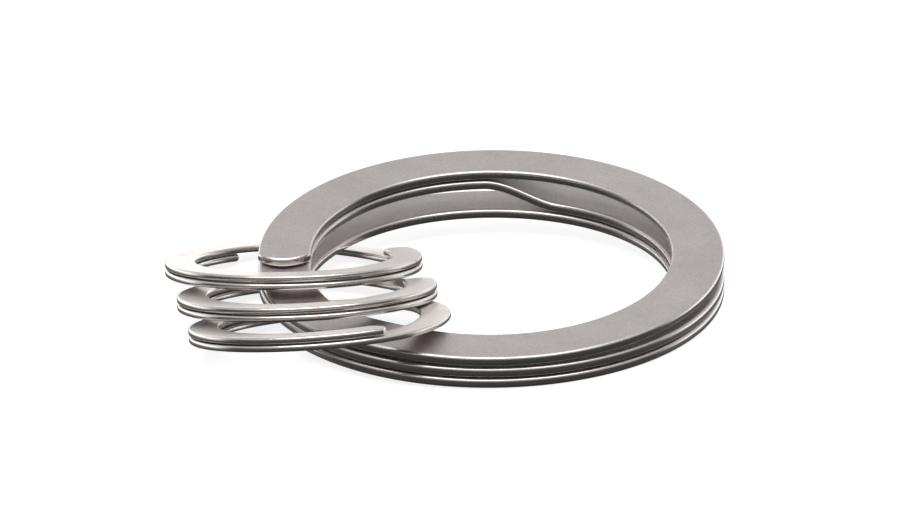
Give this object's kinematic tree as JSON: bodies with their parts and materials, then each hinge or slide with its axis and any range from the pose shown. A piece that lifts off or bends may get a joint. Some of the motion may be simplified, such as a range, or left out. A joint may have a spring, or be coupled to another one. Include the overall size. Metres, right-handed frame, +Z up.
{
  "type": "split key ring",
  "caption": "Coiled split key ring of flat strip with rounded edges, its top turn springing open, and smaller split rings threaded side by side on one limb.",
  "frame": {"origin": "centre of the object's outline on the surface that it lies on", "axes": "+Z up from that surface; +X from the small rings to the plain side of the large ring; +Y towards the large ring's crook, at the back"},
  "size_m": [0.041, 0.0368, 0.0058],
  "materials": {
    "large_ring_steel": "tumbled stainless spring steel: fine satin grain on the flat faces, polished rounded edges",
    "small_ring_steel": "tumbled stainless spring steel, finer and brighter than the large ring's"
  },
  "bodies": {
    "large_ring": {"large_ring": "large_ring_steel"},
    "opening_turn": {"large_ring_opening_turn": "large_ring_steel"},
    "small_ring_upper": {"small_ring_upper": "small_ring_steel"},
    "small_ring_middle": {"small_ring_middle": "small_ring_steel"},
    "small_ring_lower": {"small_ring_lower": "small_ring_steel"}
  },
  "joints": [
    {"name": "top_turn_open", "type": "hinge", "parent": "large_ring", "child": "opening_turn", "pos_m": [0.00349, 0.01628, 0.00488], "axis": [0, 0.9953, 0.0965], "range_deg": [0, 6], "stiffness_Nm_per_rad": 0.002},
    {"name": "small_ring_upper_spin", "type": "hinge", "parent": "large_ring", "child": "small_ring_upper", "pos_m": [-0.01103, 0.00438, 0.00226], "axis": [0.0033, 0.2242, 0.9745], "continuous": true},
    {"name": "small_ring_middle_spin", "type": "hinge", "parent": "large_ring", "child": "small_ring_middle", "pos_m": [-0.00991, -0.00277, 0.00256], "axis": [-0.0246, 0.2308, 0.9727], "continuous": true},
    {"name": "small_ring_lower_spin", "type": "hinge", "parent": "large_ring", "child": "small_ring_lower", "pos_m": [-0.00888, -0.00916, 0.0028], "axis": [-0.0491, 0.2406, 0.9694], "continuous": true}
  ]
}
